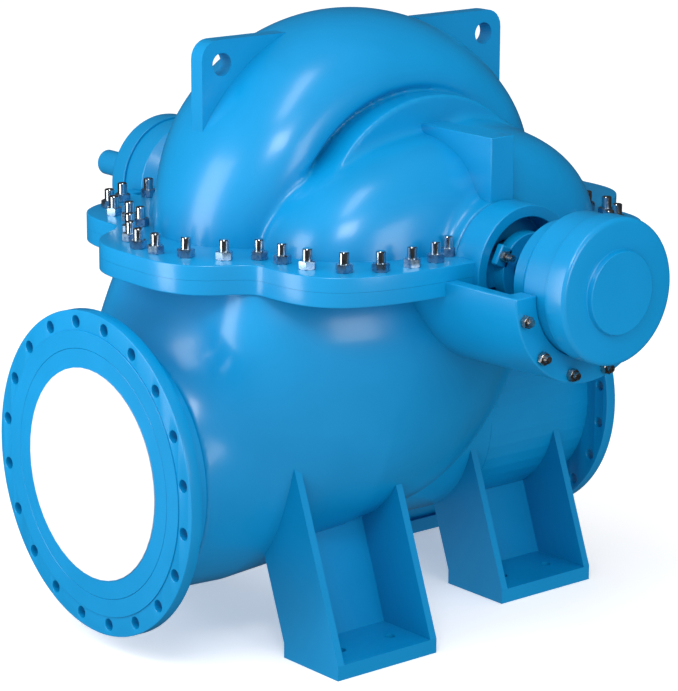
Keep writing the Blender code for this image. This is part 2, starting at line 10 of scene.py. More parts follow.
import bmesh
import bpy
import numpy as np
from mathutils import Euler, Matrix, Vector


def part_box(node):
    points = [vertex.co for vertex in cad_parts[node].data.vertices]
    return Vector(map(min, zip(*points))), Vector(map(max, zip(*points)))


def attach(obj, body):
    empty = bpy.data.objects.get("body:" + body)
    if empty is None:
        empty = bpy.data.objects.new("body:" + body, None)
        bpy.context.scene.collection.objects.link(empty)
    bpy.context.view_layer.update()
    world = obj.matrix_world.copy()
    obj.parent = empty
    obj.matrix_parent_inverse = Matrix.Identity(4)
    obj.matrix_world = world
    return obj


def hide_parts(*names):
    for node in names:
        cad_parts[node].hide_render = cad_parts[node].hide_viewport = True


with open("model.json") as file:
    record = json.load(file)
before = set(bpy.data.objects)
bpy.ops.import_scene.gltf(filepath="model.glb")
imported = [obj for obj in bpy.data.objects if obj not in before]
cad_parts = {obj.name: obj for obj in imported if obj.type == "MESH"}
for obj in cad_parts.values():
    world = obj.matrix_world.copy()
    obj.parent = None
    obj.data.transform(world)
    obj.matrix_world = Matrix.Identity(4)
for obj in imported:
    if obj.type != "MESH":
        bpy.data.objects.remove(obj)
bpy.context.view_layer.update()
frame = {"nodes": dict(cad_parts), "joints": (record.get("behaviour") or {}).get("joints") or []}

# The middle of the pump on the shaft's axis, and the port's height, from the frame
AXIS = Vector(frame["joints"][0]["pos_m"])
SUCTION_LOW, SUCTION_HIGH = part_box("suction_flange")
PORT_Z = (SUCTION_LOW.z + SUCTION_HIGH.z) / 2 - AXIS.z

# Casing surface: grid step of the field that both halves are polygonised from
FIELD_STEP = 0.0080

# Pieces at the far end stand closer to the volute by this much, and otherwise repeat the near end's
FAR_SHORTER = 0.130

# Volute: a ring round the shaft, a little towards the suction side, and the drum it stands on
VOLUTE_X = -0.022
VOLUTE_Y = -0.010
VOLUTE_CORE = 0.385
VOLUTE_CREST = 0.530
VOLUTE_UNDERCUT = 0.060
VOLUTE_HALF_WIDTH = 0.240
VOLUTE_WAIST = 0.045
WAIST_STEEPNESS = 1.5
VOLUTE_TOP_SCALE = 1.013
VOLUTE_BOTTOM_SCALE = 1.340
DRUM_RADIUS = 0.360
DRUM_NEAR_Y = -0.300
DRUM_FAR_Y = 0.260

# Suction chambers beside it, in half sizes from their middle. Of the two along Y the first is towards
# the volute. Other pairs are for the suction side and the discharge side, eased over a width.
CHAMBER_Y = 0.250
UPPER_HALF_X = (0.455, 0.475)
UPPER_HALF_X_EASE = 0.30
UPPER_HALF_Y = (0.130, 0.272)
UPPER_TOP = (0.277, 0.300)
UPPER_TOP_EASE = 0.12
UPPER_POWERS = (2.1, 2.8)
LOWER_X = -0.155
LOWER_HALF_X = 0.478
LOWER_HALF_Y = 0.285
LOWER_BOTTOM = 0.640
LOWER_POWERS = (2.0, 2.0)
OUTLET_RADIUS = 0.2640
OUTLET_END_X = 0.262
SHOULDER_DEPTH = 0.055
SHOULDER_HEIGHT = 0.110
BOSS_RADIUS = 0.150
BOSS_FACE_Y = 0.5495
TUNNEL_RADIUS = 0.056

# Bands in which the casing's forms blend. A wider one gives a larger fillet.
DRUM_BLEND = 0.022
VOLUTE_BLEND = 0.014
BOSS_BLEND = 0.030
LOWER_DUCT_BLEND = 0.10
LOWER_DRUM_BLEND = 0.06
LOWER_VOLUTE_BLEND = 0.05
OUTLET_BLEND = 0.04

# Grids round the two halves of the casing, each from its first corner to its last
UPPER_GRID = ((-0.60, -0.60, -0.02), (0.60, 0.60, 0.56))
LOWER_GRID = ((-0.72, -0.60, -0.82), (0.60, 0.60, 0.02))

# Suction duct from the pipe to the chambers: place along x, half width, half height, rise, power
DUCT_STATIONS = (
    (-0.680, 0.307, 0.307, 0.000, 2.0),
    (-0.600, 0.322, 0.335, 0.030, 2.1),
    (-0.520, 0.342, 0.375, 0.070, 2.2),
    (-0.400, 0.385, 0.410, 0.120, 2.2),
    (-0.260, 0.410, 0.400, 0.170, 2.2),
    (-0.100, 0.380, 0.350, 0.220, 2.2),
)

# Split flange: half length, half width and power of each rounded lobe, and their middles
SPLIT_THICKNESS = 0.035
JOINT_GAP = 0.0002
VOLUTE_LOBE = (0.713, 0.297, 3.5)
VOLUTE_LOBE_PLACE = (0.0, -0.065)
SUCTION_LOBE = (0.537, 0.318, 4.0)
SUCTION_LOBE_PLACE = (-0.018, 0.300)
NOTCH_BLEND = 0.10
SPLIT_EDGE = 0.003

# Its outline is found on rays from the middle, between two distances, by halving
OUTLINE_STEPS = 320
OUTLINE_REACH = (0.2, 1.2)
OUTLINE_HALVINGS = 24

# Fasteners. Nuts have a width across flats and a height, studs a radius, a length and a chamfer.
SPLIT_NUT = (0.036, 0.0195)
SPLIT_STUD = (0.012, 0.047, 0.002)
BRACKET_NUT = (0.027, 0.0148)
BRACKET_STUD = (0.009, 0.025, 0.001)
GLAND_NUT = (0.024, 0.013)
GLAND_STUD = (0.008, 0.034, 0.001)
NUT_TURN = 0.35
NUT_STEPS = 36
NUT_CROWN = 0.97
NUT_CHAMFER = math.radians(30.0)
STUD_STEPS = 24

# The near studs on the suction side, from the volute to the stuffing box. The others mirror them
# about the flange's own middle.
STUD_PLACES = (
    (0.660, -0.092), (0.629, -0.167), (0.577, -0.243), (0.512, -0.290), (0.498, -0.356), (0.488, -0.435),
    (0.446, -0.514), (0.376, -0.558), (0.290, -0.566), (0.216, -0.5615), (0.153, -0.532),
)
STUD_MIDDLE = (-0.018, -0.058)

# Stuffing boxes and glands, with places along the shaft as at the near end
BOX_RIM_Y = 0.633
BOX_RADIUS = 0.149
BOX_BORE = 0.122
BOX_FLOOR_Y = 0.560
BOX_FACE_Y = 0.5503
GLAND_RADIUS = 0.088
GLAND_BORE = 0.0525
GLAND_EAR_ROOT = 0.85
GLAND_EAR_REACH = 0.112
GLAND_EAR_HALF = 0.025
GLAND_FACE_Y = 0.650
GLAND_BACK_Y = 0.615
GLAND_EAR_DEPTH = 0.020
GLAND_SLANT = math.radians(27.0)
GLAND_STUD_REACH = 0.099

# Bearing brackets, housings and covers. Pairs are for the near end and the far end, and all places
# along the shaft are measured as at the near end.
BRACKET_ENDS = (0.8433, 0.8300)
BRACKET_START_Y = 0.450
BRACKET_OUTER_BODY = 0.238
BRACKET_OUTER_END = 0.2265
BRACKET_WALL = 0.040
BRACKET_SEAT_DEPTH = 0.050
BRACKET_SCREWS = 6
BRACKET_SCREW_PITCH = 0.206
HOUSING_BACKS = (0.110, 0.100)
HOUSING_NECK_RADIUS = 0.1335
HOUSING_RADIUS = 0.1637
HOUSING_FRONT = 0.030
HOUSING_TAPER = (0.4, 0.7)
COVER_RADIUS = 0.1695
COVER_LENGTH = 0.0597
COVER_ROUNDING = 0.011
COVER_DISC_RADIUS = 0.098
COVER_DISC_HEIGHT = 0.013
COVER_DISC_TAPER = 0.003
COVER_BORE = 0.037
SHAFT_CLEAR_BORE = 0.056
JOURNAL_BORE = 0.0405

# Ribs over the stuffing boxes
RIB_HALF_WIDTH = 0.036
RIB_FACE_Y = 0.547
RIB_BACK_Y = 0.280
RIB_TOP = 0.297
RIB_FOOT = 0.120

# Port flanges: the place of each face, and the radii of rim, bolt circle, raised face, bore and holes
FLANGE_THICKNESS = 0.030
RAISED_HEIGHT = 0.003
RAISED_SEAT = 0.001
PORT_HOLES = 20
SUCTION_FACE_X = -0.788
SUCTION_SIZES = (0.390, 0.3625, 0.3425, 0.2805, 0.015)
DISCHARGE_FACE_X = 0.606
DISCHARGE_SIZES = (0.335, 0.310, 0.2925, 0.2400, 0.013)
SUCTION_COVER_RADIUS = 0.2992
SUCTION_COVER_THICKNESS = 0.010

# Suction neck: its ends along x, and its radius
SUCTION_NECK = (-0.7547, -0.6803, 0.307)

# Gaps between pieces that sit in one another, and between the bearing covers and their housings
SEAT_GAP = 0.0006
COVER_GAP = 0.0003

# Rounded edges, and the segments that they are made of
EDGE_SEATED = 0.0008
EDGE_RAISED = 0.0009
EDGE_MACHINED = 0.0015
EDGE_CAST = 0.002
EDGE_BRACKET = 0.003
EDGE_EAR = 0.004
EDGE_SEGMENTS = 2

# Steps of circles and of quarter turns
RIM_STEPS = 160
TURN_STEPS = 128
HOLE_STEPS = 24
SLAB_STEPS = 4
COVER_STEPS = 6

# Points closer than this are one point, in plates and in turned pieces
PLATE_WELD = 0.00002
TURNED_WELD = 0.00001


def place(x, y, z):
    """A point of the frame from pump coordinates."""
    return AXIS + Vector((x, y, z))


def end_shift(side):
    """What the far end's pieces, on side 1, are moved along Y by."""
    return -FAR_SHORTER if side > 0 else 0.0


def end_place(side, distance):
    """A place on Y at a distance that is measured at the near end."""
    return side * distance + end_shift(side)


# Camera and light

PHOTO_SIZE = (678, 691)
PHOTO_FOCAL_PIXELS = 2864.08
CAMERA_AZIMUTH = -39.4914
CAMERA_ELEVATION = 14.4583
CAMERA_ROLL = 0.21
CAMERA_PLACE = (-4.4275, -5.3280, 1.4762)
SENSOR = 36.0
CAMERA_REACH = 100.0


def back_vector(azimuth, elevation):
    """The direction from the object to a viewer at that azimuth and elevation, in degrees."""
    a, e = math.radians(azimuth), math.radians(elevation)
    return Vector((math.sin(a) * math.cos(e), -math.cos(a) * math.cos(e), math.sin(e)))


def make_camera():
    data = bpy.data.cameras.new("camera")
    data.sensor_fit = "AUTO"
    data.sensor_width = SENSOR
    data.lens = PHOTO_FOCAL_PIXELS * SENSOR / max(PHOTO_SIZE)
    data.clip_end = CAMERA_REACH
    camera = bpy.data.objects.new("camera", data)
    bpy.context.scene.collection.objects.link(camera)
    camera.location = place(*CAMERA_PLACE)
    camera.rotation_euler = back_vector(CAMERA_AZIMUTH, CAMERA_ELEVATION).to_track_quat("Z", "Y").to_euler()
    camera.rotation_euler.rotate_axis("Z", math.radians(CAMERA_ROLL))
    bpy.context.scene.camera = camera


def softbox(name, azimuth, elevation, distance, width, height, power):
    """A soft rectangular lamp at that direction from the pump, facing it."""
    light = bpy.data.lights.new(name, "AREA")
    light.shape = "RECTANGLE"
    light.size, light.size_y = width, height
    light.energy = power
    lamp = bpy.data.objects.new(name, light)
    bpy.context.scene.collection.objects.link(lamp)
    back = back_vector(azimuth, elevation)
    lamp.location = place(0.0, 0.0, 0.0) + back * distance
    lamp.rotation_euler = back.to_track_quat("Z", "Y").to_euler()


# Lamps: name, azimuth, elevation, distance, width, height and power
LAMPS = (
    ("key_left", -100.0, 6.0, 2.3, 0.9, 2.0, 26.0),
    ("front_left", -46.0, 36.0, 3.3, 1.0, 0.8, 28.0),
    ("top", -60.0, 68.0, 4.0, 0.7, 2.0, 26.0),
    ("front", -4.0, 12.0, 3.8, 1.4, 1.8, 30.0),
)

# Surround: the direction of its dark side, how far towards it the shade starts and ends, strengths
DARK_SIDE = (0.98, -0.17, -0.05)
SHADE_START = 0.25
SHADE_END = 0.85
BRIGHT_STRENGTH = 1.00
DARK_STRENGTH = 0.30
MIRRORED_STRENGTH = 0.03
WHITE = (1.0, 1.0, 1.0, 1.0)

# Floor
FLOOR_SIZE = 60.0
FLOOR_DROP = 0.0005
FLOOR_COLOR = (0.94, 0.94, 0.95)
FLOOR_ROUGHNESS = 0.6
FLOOR_GLOW = 0.35


def make_world():
    """A white studio that is dimmer towards the viewer's right, and dark where glossy paint mirrors it."""
    world = bpy.data.worlds.new("studio")
    world.use_nodes = True
    nodes, links = world.node_tree.nodes, world.node_tree.links
    coords = nodes.new("ShaderNodeTexCoord")
    dot = nodes.new("ShaderNodeVectorMath")
    dot.operation = "DOT_PRODUCT"
    dot.inputs[1].default_value = DARK_SIDE
    spread = nodes.new("ShaderNodeMapRange")
    spread.inputs["From Min"].default_value = SHADE_START
    spread.inputs["From Max"].default_value = SHADE_END
    spread.inputs["To Min"].default_value = BRIGHT_STRENGTH
    spread.inputs["To Max"].default_value = DARK_STRENGTH
    rays = nodes.new("ShaderNodeLightPath")
    strength = nodes.new("ShaderNodeMix")
    strength.inputs["B"].default_value = MIRRORED_STRENGTH
    links.new(coords.outputs["Generated"], dot.inputs[0])
    links.new(dot.outputs["Value"], spread.inputs["Value"])
    links.new(spread.outputs["Result"], strength.inputs["A"])
    links.new(rays.outputs["Is Glossy Ray"], strength.inputs["Factor"])
    links.new(strength.outputs["Result"], nodes["Background"].inputs["Strength"])
    nodes["Background"].inputs["Color"].default_value = WHITE
    bpy.context.scene.world = world


def make_stage():
    """A pale floor, the surround and the soft lamps."""
    bpy.ops.mesh.primitive_plane_add(size=FLOOR_SIZE, location=(0.0, 0.0, -FLOOR_DROP))
    floor = bpy.context.object
    floor.name = "floor"
    material = material_with("pale_floor", FLOOR_COLOR, FLOOR_ROUGHNESS, 0.0)
    shader = material.node_tree.nodes["Principled BSDF"]
    shader.inputs["Emission Color"].default_value = WHITE
    shader.inputs["Emission Strength"].default_value = FLOOR_GLOW
    floor.data.materials.append(material)
    floor.visible_glossy = False
    floor.visible_diffuse = False
    make_world()
    for lamp in LAMPS:
        softbox(*lamp)
    scene = bpy.context.scene
    scene.view_settings.view_transform = "Standard"
    scene.view_settings.look = "None"


# Materials

PATCH_EDGES = (0.35, 0.65)


def material_with(name, color, roughness, metallic):
    material = bpy.data.materials.new(name)
    material.use_nodes = True
    shader = material.node_tree.nodes["Principled BSDF"]
    shader.inputs["Base Color"].default_value = (*color, 1.0)
    shader.inputs["Roughness"].default_value = roughness
    shader.inputs["Metallic"].default_value = metallic
    return material


def noise_node(material, scale, detail, stretch=(1.0, 1.0, 1.0)):
    """Noise in the piece's own coordinates, so it rides with its body."""
    nodes, links = material.node_tree.nodes, material.node_tree.links
    coords = nodes.new("ShaderNodeTexCoord")
    mapping = nodes.new("ShaderNodeMapping")
    mapping.inputs["Scale"].default_value = stretch
    noise = nodes.new("ShaderNodeTexNoise")
    noise.inputs["Scale"].default_value = scale
    noise.inputs["Detail"].default_value = detail
    links.new(coords.outputs["Object"], mapping.inputs["Vector"])
    links.new(mapping.outputs["Vector"], noise.inputs["Vector"])
    return noise


def vary_roughness(material, noise, low, high):
    nodes, links = material.node_tree.nodes, material.node_tree.links
    spread = nodes.new("ShaderNodeMapRange")
    spread.inputs["To Min"].default_value = low
    spread.inputs["To Max"].default_value = high
    links.new(noise.outputs["Fac"], spread.inputs["Value"])
    links.new(spread.outputs["Result"], nodes["Principled BSDF"].inputs["Roughness"])


def vary_color(material, noise, *colors):
    nodes, links = material.node_tree.nodes, material.node_tree.links
    ramp = nodes.new("ShaderNodeValToRGB")
    for element, position, color in zip(ramp.color_ramp.elements, PATCH_EDGES, colors):
        element.position = position
        element.color = (*color, 1.0)
    links.new(noise.outputs["Fac"], ramp.inputs["Fac"])
    links.new(ramp.outputs["Color"], nodes["Principled BSDF"].inputs["Base Color"])


def add_bumps(material, *layers):
    """Bump nodes in a chain, one for each (noise, strength, distance)."""
    nodes, links = material.node_tree.nodes, material.node_tree.links
    previous = None
    for noise, strength, distance in layers:
        bump = nodes.new("ShaderNodeBump")
        bump.inputs["Strength"].default_value = strength
        bump.inputs["Distance"].default_value = distance
        links.new(noise.outputs["Fac"], bump.inputs["Height"])
        if previous:
            links.new(previous.outputs["Normal"], bump.inputs["Normal"])
        previous = bump
    links.new(previous.outputs["Normal"], nodes["Principled BSDF"].inputs["Normal"])


def patchy(name, color, roughness, metallic, scale, detail, colors, roughnesses):
    """A material that varies between two colours and two roughnesses, and the noise it follows."""
    material = material_with(name, color, roughness, metallic)
    patches = noise_node(material, scale, detail)
    vary_color(material, patches, *colors)
    vary_roughness(material, patches, *roughnesses)
    return material, patches


def sky_blue_paint(name, cast):
    """Glossy paint. On castings the metal under it waves a little, on machined parts it doesn't."""
    material, _ = patchy(
        name, color=(0.0, 0.232, 0.515), roughness=0.34, metallic=0.0, scale=5.0, detail=3.0,
        colors=((0.0, 0.224, 0.497), (0.0, 0.240, 0.533)), roughnesses=(0.26, 0.34))
    shader = material.node_tree.nodes["Principled BSDF"]
    shader.inputs["IOR"].default_value = 1.48
    shader.inputs["Coat Weight"].default_value = 0.25
    shader.inputs["Coat Roughness"].default_value = 0.16
    peel = noise_node(material, scale=420.0, detail=2.0)
    layers = [(peel, 0.05, 0.0004)]
    if cast:
        waves = noise_node(material, scale=14.0, detail=2.0)
        layers.append((waves, 0.10, 0.0015))
    add_bumps(material, *layers)
    return material


def bright_steel():
    """Plated studs with faint turning lines."""
    material, _ = patchy(
        "bright_steel", color=(0.60, 0.64, 0.68), roughness=0.16, metallic=1.0, scale=60.0, detail=2.0,
        colors=((0.52, 0.58, 0.64), (0.68, 0.71, 0.74)), roughnesses=(0.10, 0.22))
    lines = noise_node(material, scale=900.0, detail=2.0, stretch=(0.05, 0.05, 1.0))
    add_bumps(material, (lines, 0.15, 0.0002))
    return material


def nut_steel():
    """Blue passivated nuts."""
    material, patches = patchy(
        "nut_steel", color=(0.34, 0.50, 0.64), roughness=0.28, metallic=1.0, scale=90.0, detail=3.0,
        colors=((0.28, 0.44, 0.60), (0.44, 0.57, 0.68)), roughnesses=(0.20, 0.36))
    add_bumps(material, (patches, 0.10, 0.0003))
    return material


def brown_steel():
    """Oiled screws on the bearing brackets and glands."""
    material, patches = patchy(
        "brown_steel", color=(0.46, 0.42, 0.38), roughness=0.26, metallic=1.0, scale=120.0, detail=3.0,
        colors=((0.36, 0.34, 0.32), (0.56, 0.51, 0.46)), roughnesses=(0.18, 0.36))
    add_bumps(material, (patches, 0.10, 0.0003))
    return material


def white_plate():
    """Bare satin plate on the suction cover."""
    material, _ = patchy(
        "white_plate", color=(0.70, 0.70, 0.72), roughness=0.35, metallic=0.0, scale=7.0, detail=3.0,
        colors=((0.685, 0.685, 0.705), (0.715, 0.715, 0.73)), roughnesses=(0.30, 0.42))
    grain = noise_node(material, scale=300.0, detail=2.0)
    add_bumps(material, (grain, 0.04, 0.0002))
    return material


CAST_PAINT = sky_blue_paint("cast_paint", True)
SMOOTH_PAINT = sky_blue_paint("smooth_paint", False)
BRIGHT_STEEL = bright_steel()
NUT_STEEL = nut_steel()
BROWN_STEEL = brown_steel()
WHITE_PLATE = white_plate()


# Fields: each gives about the distance to a form's surface, below zero inside

# Keeps the fields' roots and quotients off zero
TINY = 1e-9


def blend_union(a, b, width):
    """The union of two fields with a fillet, width being the band where they blend."""
    h = np.maximum(width - np.abs(a - b), 0.0) / width
    return np.minimum(a, b) - h * h * width / 4


def shaft_distance(x, z):
    return np.sqrt(x * x + z * z)


def eased(t):
    """A smooth step between zero and one."""
    return t * t * (3 - 2 * t)


def bulge_field(x, y, z, half_x, half_y, half_z, powers):
    """A bulge: its sections across the shaft have the first power, those along it the second."""
    across, lengthwise = powers
    qx, qy, qz = np.abs(x) / half_x + TINY, np.abs(y) / half_y + TINY, np.abs(z) / half_z + TINY
    section = (qx ** across + qz ** across) ** (1 / across)
    value = (section ** lengthwise + qy ** lengthwise) ** (1 / lengthwise)
    to_section = (section / value) ** (lengthwise - 1)
    slope_x = to_section * (qx / section) ** (across - 1) / half_x
    slope_z = to_section * (qz / section) ** (across - 1) / half_z
    slope_y = (qy / value) ** (lengthwise - 1) / half_y
    return (value - 1) / np.sqrt(slope_x ** 2 + slope_y ** 2 + slope_z ** 2)


def ring_field(x, y, z, scale_z):
    """The volute: a ring of elliptic section that turns under towards the shaft. Near the split its
    waist is narrower."""
    x, y, z = x - VOLUTE_X, y - VOLUTE_Y, z / scale_z
    rho = shaft_distance(x, z) + TINY
    steep = np.clip(np.abs(z) / rho * WAIST_STEEPNESS, 0.0, 1.0)
    half_width = VOLUTE_HALF_WIDTH - VOLUTE_WAIST * (1.0 - eased(steep))
    out = rho - VOLUTE_CORE
    depth = np.where(out > 0, VOLUTE_CREST - VOLUTE_CORE, VOLUTE_UNDERCUT)
    across, along = np.abs(out) / depth + TINY, np.abs(y) / half_width + TINY
    value = np.sqrt(across ** 2 + along ** 2)
    slope = np.sqrt((across / depth) ** 2 + (along / half_width) ** 2) / value
    return (value - 1) / slope


def drum_field(x, y, z):
    """The plain drum round the shaft that the volute stands on."""
    return np.maximum(shaft_distance(x, z) - DRUM_RADIUS, np.maximum(DRUM_NEAR_Y - y, y - DRUM_FAR_Y))


def from_middle(y):
    """How far along the near end's measures a place is, on either side of the volute."""
    return np.where(y < 0, -y, y + FAR_SHORTER)


def by_side(x, values, width):
    """The first value on the suction side, the second on the discharge side, eased over a width."""
    return values[0] + (values[1] - values[0]) * eased(np.clip(x / width, 0.0, 1.0))


def boss_field(x, y, z):
    """The round bosses that the stuffing boxes stand on."""
    return np.maximum(shaft_distance(x, z) - BOSS_RADIUS, from_middle(y) - BOSS_FACE_Y)


def bored_half(body, x, y, z, side):
    """A half of the casing with its bosses, cut level at the joint and bored for the shaft."""
    body = blend_union(body, boss_field(x, y, z), BOSS_BLEND)
    body = np.maximum(body, JOINT_GAP - side * z)
    return np.maximum(body, TUNNEL_RADIUS - shaft_distance(x, z))


def upper_field(x, y, z):
    """Volute, drum and domes above the split. The far dome runs straight on to the volute."""
    side_y = from_middle(y) - CHAMBER_Y
    half_y = np.where(side_y > 0, UPPER_HALF_Y[1], UPPER_HALF_Y[0])
    side_y = np.where(y < 0, side_y, np.maximum(side_y, 0.0))
    domes = bulge_field(x, side_y, z, by_side(x, UPPER_HALF_X, UPPER_HALF_X_EASE), half_y,
                        by_side(x, UPPER_TOP, UPPER_TOP_EASE), UPPER_POWERS)
    body = blend_union(domes, drum_field(x, y, z), DRUM_BLEND)
    body = blend_union(body, ring_field(x, y, z, VOLUTE_TOP_SCALE), VOLUTE_BLEND)
    return bored_half(body, x, y, z, 1)


def duct_field(x, y, z):
    """The suction duct, which opens from the round port into both chambers."""
    places, *measures = zip(*DUCT_STATIONS)
    half_y, half_z, rise, power = (np.interp(x, places, measure) for measure in measures)
    middle = PORT_Z + rise
    qy, qz = np.abs(y) / half_y + TINY, np.abs(z - middle) / half_z + TINY
    value = (qy ** power + qz ** power) ** (1 / power)
    slope_y = (qy / value) ** (power - 1) / half_y
    slope_z = (qz / value) ** (power - 1) / half_z
    distance = (value - 1) / np.sqrt(slope_y ** 2 + slope_z ** 2)
    return np.maximum(distance, np.maximum(places[0] - x, x - places[-1]))


def outlet_field(x, y, z):
    """The casing's round outlet, which the discharge neck carries on."""
    around = np.sqrt(y * y + (z - PORT_Z) ** 2) - OUTLET_RADIUS
    return np.maximum(around, np.maximum(-x, x - OUTLET_END_X))


def lower_field(x, y, z):
    """Volute, drum, chambers, duct and outlet below the split. A shoulder draws them in under it."""
    side_y = np.maximum(from_middle(y) - CHAMBER_Y, 0.0)
    body = bulge_field(x - LOWER_X, side_y, z, LOWER_HALF_X, LOWER_HALF_Y, LOWER_BOTTOM, LOWER_POWERS)
    body = blend_union(body, duct_field(x, y, z), LOWER_DUCT_BLEND)
    body = blend_union(body, drum_field(x, y, z), LOWER_DRUM_BLEND)
    body = blend_union(body, ring_field(x, y, z, VOLUTE_BOTTOM_SCALE), LOWER_VOLUTE_BLEND)
    body = body + SHOULDER_DEPTH * np.exp(-(z / SHOULDER_HEIGHT) ** 2)
    body = blend_union(body, outlet_field(x, y, z), OUTLET_BLEND)
    return bored_half(body, x, y, z, -1)


# Polygonising a field

# Settling: how often, the probe and the longest move as parts of the grid step, the least slope squared
SETTLE_PASSES = 3
SETTLE_PROBE = 0.02
SETTLE_MOVE = 1 / 3
SETTLE_SLOPE = 0.25


def field_grid(field, low, high, step):
    """The field on a grid, and the grid's first corner."""
    counts = [int(math.ceil((h - l) / step)) + 1 for l, h in zip(low, high)]
    axes = [l + step * np.arange(n) for l, n in zip(low, counts)]
    return field(*np.meshgrid(*axes, indexing="ij", sparse=True)), np.array(low)


CORNERS = [(i, j, k) for i in (0, 1) for j in (0, 1) for k in (0, 1)]
EDGES = [(a, b) for a in range(8) for b in range(a + 1, 8)
         if sum(abs(p - q) for p, q in zip(CORNERS[a], CORNERS[b])) == 1]


def corner_block(values, corner):
    i, j, k = corner
    nx, ny, nz = (n - 1 for n in values.shape)
    return values[i:i + nx, j:j + ny, k:k + nz]


def net_points(values, active):
    """One point for each active cell: the mean of where the field crosses zero on its edges."""
    corner_values = [corner_block(values, c)[active] for c in CORNERS]
    total = np.zeros((len(corner_values[0]), 3))
    count = np.zeros(len(corner_values[0]))
    for a, b in EDGES:
        va, vb = corner_values[a], corner_values[b]
        crossing = (va < 0) != (vb < 0)
        t = np.where(crossing, va / np.where(crossing, va - vb, 1.0), 0.0)
        start, end = np.array(CORNERS[a], float), np.array(CORNERS[b], float)
        total += np.where(crossing[:, None], start + t[:, None] * (end - start), 0.0)
        count += crossing
    return total / count[:, None] + np.argwhere(active)


def net_faces(values, active):
    """Quads between the four cells round each grid edge that the surface crosses, facing out."""
    index = np.full(active.shape, -1)
    index[active] = np.arange(active.sum())
    inside = values < 0
    quads = []
    for axis in range(3):
        u, v = (axis + 1) % 3, (axis + 2) % 3
        first = np.take(inside, range(values.shape[axis] - 1), axis)
        second = np.take(inside, range(1, values.shape[axis]), axis)
        places = np.argwhere(first != second)
        places = places[(places[:, u] > 0) & (places[:, v] > 0)]
        fits = (places[:, u] < active.shape[u]) & (places[:, v] < active.shape[v])
        places = places[fits]
        ring = []
        for du, dv in ((1, 1), (0, 1), (0, 0), (1, 0)):
            cell = places.copy()
            cell[:, u] -= du
            cell[:, v] -= dv
            ring.append(index[tuple(cell.T)])
        quad = np.stack(ring, axis=1)
        leaving = first[tuple(places.T)]
        quads.append(np.where(leaving[:, None], quad, quad[:, ::-1]))
    return np.concatenate(quads)


def settle(points, field, step):
    """Moves points onto the field's zero, along its slope."""
    small, limit = step * SETTLE_PROBE, step * SETTLE_MOVE
    for _ in range(SETTLE_PASSES):
        x, y, z = points.T
        value = field(x, y, z)
        slope = np.stack([
            field(x + small, y, z) - field(x - small, y, z),
            field(x, y + small, z) - field(x, y - small, z),
            field(x, y, z + small) - field(x, y, z - small),
        ], axis=1) / (2 * small)
        size = np.maximum((slope ** 2).sum(axis=1), SETTLE_SLOPE)
        move = slope * (value / size)[:, None]
        points = points - np.clip(move, -limit, limit)
    return points


def field_mesh(name, field, grid, step, material):
    """A closed smooth mesh of the field's zero surface."""
    values, origin = field_grid(field, *grid, step)
    inside = values < 0
    count = sum(corner_block(inside, c).astype(int) for c in CORNERS)
    active = (count > 0) & (count < 8)
    points = origin + step * net_points(values, active)
    points = settle(points, field, step)
    quads = net_faces(values, active)
    mesh = bpy.data.meshes.new(name)
    mesh.from_pydata((points + np.array(AXIS)).tolist(), [], quads.tolist())
    mesh.validate()
    mesh.shade_smooth()
    return finished(name, mesh, material)


# Building pieces

def finished(name, mesh, material):
    mesh.materials.append(material)
    obj = bpy.data.objects.new(name, mesh)
    bpy.context.scene.collection.objects.link(obj)
    return obj


def smooth_by_angle(mesh, degrees=35.0):
    mesh.shade_smooth()
    mesh.set_sharp_from_angle(angle=math.radians(degrees))


def mesh_from(name, bm):
    mesh = bpy.data.meshes.new(name)
    bm.to_mesh(mesh)
    bm.free()
    return mesh


def outline_plate(name, loops, thickness, edge, material):
    """A flat plate in its own XY plane, with rounded edges, from a list of closed outlines."""
    curve = bpy.data.curves.new(name, "CURVE")
    curve.dimensions = "2D"
    curve.fill_mode = "BOTH"
    curve.extrude = thickness / 2 - edge
    curve.bevel_depth = edge
    curve.bevel_resolution = EDGE_SEGMENTS
    curve.offset = -edge
    for loop in loops:
        spline = curve.splines.new("POLY")
        spline.points.add(len(loop) - 1)
        spline.use_cyclic_u = True
        for point, (u, v) in zip(spline.points, loop):
            point.co = (u, v, 0.0, 1.0)
    source = bpy.data.objects.new(name, curve)
    bpy.context.scene.collection.objects.link(source)
    depsgraph = bpy.context.evaluated_depsgraph_get()
    mesh = bpy.data.meshes.new_from_object(source.evaluated_get(depsgraph))
    bpy.data.objects.remove(source)
    bm = bmesh.new()
    bm.from_mesh(mesh)
    bmesh.ops.remove_doubles(bm, verts=bm.verts, dist=PLATE_WELD)
    bm.to_mesh(mesh)
    bm.free()
    smooth_by_angle(mesh)
    mesh.name = name
    mesh.materials.clear()
    return finished(name, mesh, material)


def polar(radius, angle):
    return radius * math.cos(angle), radius * math.sin(angle)


def circle(radius, steps, centre=(0.0, 0.0)):
    points = (polar(radius, math.tau * i / steps) for i in range(steps))
    return [(centre[0] + u, centre[1] + v) for u, v in points]


def quarter_turn(steps):
    """Angles from zero to a right angle."""
    return [math.pi / 2 * i / steps for i in range(steps + 1)]


def ringed_mesh(name, rings, sharp_angle):
    """A closed mesh of rings of points, each joined to the next, with a face on the first and last."""
    bm = bmesh.new()
    made = [[bm.verts.new(point) for point in ring] for ring in rings]
    for low, high in zip(made, made[1:]):
        for i in range(len(low)):
            j = (i + 1) % len(low)
            bm.faces.new((low[i], low[j], high[j], high[i]))
    bm.faces.new(made[-1])
    bm.faces.new(list(reversed(made[0])))
    bmesh.ops.recalc_face_normals(bm, faces=bm.faces)
    mesh = mesh_from(name, bm)
    smooth_by_angle(mesh, sharp_angle)
    return mesh


